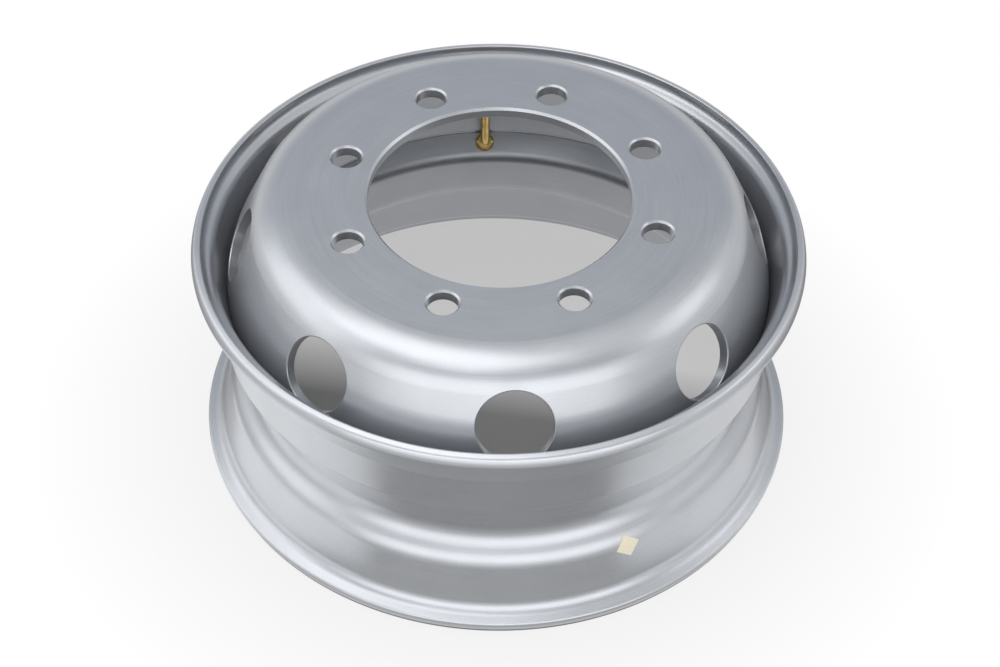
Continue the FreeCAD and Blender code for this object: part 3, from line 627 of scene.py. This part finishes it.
def make_floor():
    """Floor that the camera sees pale, that keeps the wheel's shadow and fades to white away from it, with a
    pool of light painted on it inside the wheel.
    """
    tree = Nodes("floor_white_with_painted_light")
    reach = tree.add("ShaderNodeVectorMath", operation="LENGTH")
    tree.link(tree.place((1, 1, 0)), reach.inputs[0])
    distance = reach.outputs["Value"]
    path = tree.add("ShaderNodeLightPath")
    camera_ray = path.outputs["Is Camera Ray"]
    bounced_ray = tree.math("MAXIMUM", path.outputs["Is Glossy Ray"], path.outputs["Is Transmission Ray"])
    seen = tree.spread(distance, FLOOR_CONTACT, FLOOR_SEEN_FAR, FLOOR_SEEN_NEAR_WHITE, 1.0)
    # Painted glow: reflections see the floor white right beside the rim, fading out a little way from it,
    # instead of its shadow
    painted_rim_glow = tree.spread(distance, FLOOR_CONTACT, FLOOR_RIM_GLOW_EDGE, 1.0, 0.0)
    mirrored = tree.math("ADD", painted_rim_glow, tree.spread(distance, FLOOR_MIRRORED_NEAR, FLOOR_MIRRORED_FAR))
    straight = tree.math("MULTIPLY", seen, camera_ray)
    outside = tree.math("ADD", straight, tree.math("MULTIPLY", mirrored, bounced_ray))
    heading = tree.add("ShaderNodeVectorMath", operation="DOT_PRODUCT")
    tree.link(tree.place(), heading.inputs[0])
    heading.inputs[1].default_value = PAINTED_POOL_HEADING
    ahead = heading.outputs["Value"]
    # Painted pool of light: white painted on the floor inside the wheel, growing along a heading, which the
    # camera and reflections see
    painted_pool = tree.spread(ahead, PAINTED_POOL_START, PAINTED_POOL_REACH, PAINTED_POOL_BASE, PAINTED_POOL_WHITE)
    shown = tree.math("ADD", camera_ray, tree.math("MULTIPLY", bounced_ray, PAINTED_POOL_MIRRORED))
    inside = tree.math("MULTIPLY", painted_pool, shown)
    beyond = tree.math("GREATER_THAN", distance, FLOOR_CONTACT)
    within = tree.math("SUBTRACT", 1.0, beyond)
    painted_light_within = tree.math("MULTIPLY", inside, within)
    whiteness = tree.math("ADD", tree.math("MULTIPLY", outside, beyond), painted_light_within)
    sheet = tree.add("ShaderNodeBsdfPrincipled")
    sheet.inputs["Base Color"].default_value = (*FLOOR_PAINTED_SHADE_GREY, 1.0)
    sheet.inputs["Roughness"].default_value = FLOOR_ROUGHNESS
    sheet.inputs["Specular IOR Level"].default_value = FLOOR_SHEEN
    white = tree.emission((1.0, 1.0, 1.0))
    material = tree.mix_shaders(whiteness, sheet.outputs["BSDF"], white)
    corners = [(x * FLOOR_REACH, y * FLOOR_REACH, 0) for x, y in ((-1, -1), (1, -1), (1, 1), (-1, 1))]
    stage_sheet("floor", corners, [(0, 1, 2, 3)], material)


def reflection_only_shade(name, colour):
    """Material that only reflections show, as a painted grey reflection."""
    tree = Nodes(name)
    path = tree.add("ShaderNodeLightPath")
    clear = tree.add("ShaderNodeBsdfTransparent")
    return tree.mix_shaders(path.outputs["Is Glossy Ray"], clear.outputs["BSDF"], tree.emission(colour))


def make_card():
    """Grey card behind the wheel that only reflections show, painting shade into them so that the bolting
    flat keeps its tone.
    """
    centre = Vector(CARD_CENTRE)
    width = Vector((CARD_HALF_WIDTH, 0, 0))
    height = Vector((0, 0, CARD_HALF_HEIGHT))
    low_left = centre - width - height
    corners = [low_left, low_left + 2 * width, centre + width + height, low_left + 2 * height]
    stage_sheet("painted_reflection_card", corners, [(0, 1, 2, 3)], reflection_only_shade("card_painted_reflection", CARD_PAINTED_SHADE))


def make_dim_side():
    """Curved band behind the camera that only reflections show, painted shade that dims the shoulder between
    its two highlights.
    """
    corners = []
    for step in range(DIM_STEPS + 1):
        azimuth = DIM_SWEEP * (2 * step / DIM_STEPS - 1) - math.pi / 2
        for height in (DIM_LOW, DIM_HIGH):
            flat = DIM_REACH * math.cos(height)
            rise = DIM_REACH * math.sin(height)
            corners.append((flat * math.cos(azimuth), flat * math.sin(azimuth), rise))
    faces = [(2 * step, 2 * step + 2, 2 * step + 3, 2 * step + 1) for step in range(DIM_STEPS)]
    stage_sheet("dim_side", corners, faces, reflection_only_shade("dim_painted_shade", DIM_PAINTED_SHADE))


WORLD_FILL = 0.55


def make_world():
    """White where it is seen or mirrored, a softer fill as light."""
    world = bpy.data.worlds.new("studio")
    bpy.context.scene.world = world
    world.use_nodes = True
    tree = world.node_tree
    tree.nodes.clear()
    path = tree.nodes.new("ShaderNodeLightPath")
    seen = path.outputs["Is Camera Ray"]
    for name in ("Is Glossy Ray", "Is Transmission Ray"):
        either = tree.nodes.new("ShaderNodeMath")
        either.operation = "MAXIMUM"
        tree.links.new(seen, either.inputs[0])
        tree.links.new(path.outputs[name], either.inputs[1])
        seen = either.outputs["Value"]
    strength = tree.nodes.new("ShaderNodeMapRange")
    strength.inputs["To Min"].default_value = WORLD_FILL
    strength.inputs["To Max"].default_value = 1.0
    tree.links.new(seen, strength.inputs["Value"])
    background = tree.nodes.new("ShaderNodeBackground")
    background.inputs["Color"].default_value = (1.0, 1.0, 1.0, 1.0)
    tree.links.new(strength.outputs["Result"], background.inputs["Strength"])
    output = tree.nodes.new("ShaderNodeOutputWorld")
    tree.links.new(background.outputs["Background"], output.inputs["Surface"])


# Softboxes: name, place, where it points, width, height, brightness of the panel
SOFTBOXES = [
    ("top_softbox", (-0.4, -0.3, 1.75), (0, 0, 0.13), 1.5, 1.2, 1.4),
    ("front_softbox", (-0.05, -1.05, 0.50), (0, 0, 0.13), 2.2, 0.66, 1.17),
    ("left_softbox", (-1.25, 0.1, 1.0), (0, 0, 0.13), 1.3, 1.2, 0.85),
    ("right_softbox", (1.2, -0.1, 1.05), (0, 0, 0.13), 0.8, 0.6, 1.1),
]
# Panels that lie on the floor beside the wheel and stand for its bright bounce: name, azimuth, brightness
BOUNCE_PANELS = [
    ("left_bounce", math.radians(-158), 0.8),
    ("right_bounce", math.radians(-30), 0.7),
]
BOUNCE_LENGTH = 0.5
BOUNCE_WIDTH = 0.36
BOUNCE_START = 0.265
BOUNCE_HEIGHT = 0.003
WATTS_PER_BRIGHTNESS = 4.0


def make_lamp(name, place, turn, width, height, brightness):
    """Area lamp that shows in reflections and not to the camera."""
    data = bpy.data.lights.new(name, "AREA")
    data.shape = "RECTANGLE"
    data.size = width
    data.size_y = height
    data.energy = WATTS_PER_BRIGHTNESS * brightness * width * height
    lamp = bpy.data.objects.new(name, data)
    bpy.context.scene.collection.objects.link(lamp)
    lamp.matrix_world = Matrix.Translation(place) @ turn
    lamp.visible_camera = False


def make_lights():
    """Softboxes round the wheel and bounce panels on the floor."""
    for name, place, aim, width, height, brightness in SOFTBOXES:
        turn = (Vector(aim) - Vector(place)).to_track_quat("-Z", "Y").to_matrix().to_4x4()
        make_lamp(name, place, turn, width, height, brightness)
    middle = BOUNCE_START + BOUNCE_LENGTH / 2
    for name, azimuth, brightness in BOUNCE_PANELS:
        place = (middle * math.cos(azimuth), middle * math.sin(azimuth), BOUNCE_HEIGHT)
        turn = Matrix.Rotation(azimuth, 4, "Z") @ Matrix.Rotation(math.pi, 4, "X")
        make_lamp(name, place, turn, BOUNCE_LENGTH, BOUNCE_WIDTH, brightness)


make_camera()
dress_nodes()
rim_section = rounded(rim_outline(RIM_CORNERS, RIM_WALL))
make_rim(rim_section)
make_sticker(rim_section)
make_weld()
make_spring()
make_floor()
make_card()
make_dim_side()
make_world()
make_lights()
bpy.context.scene.view_settings.view_transform = "Standard"
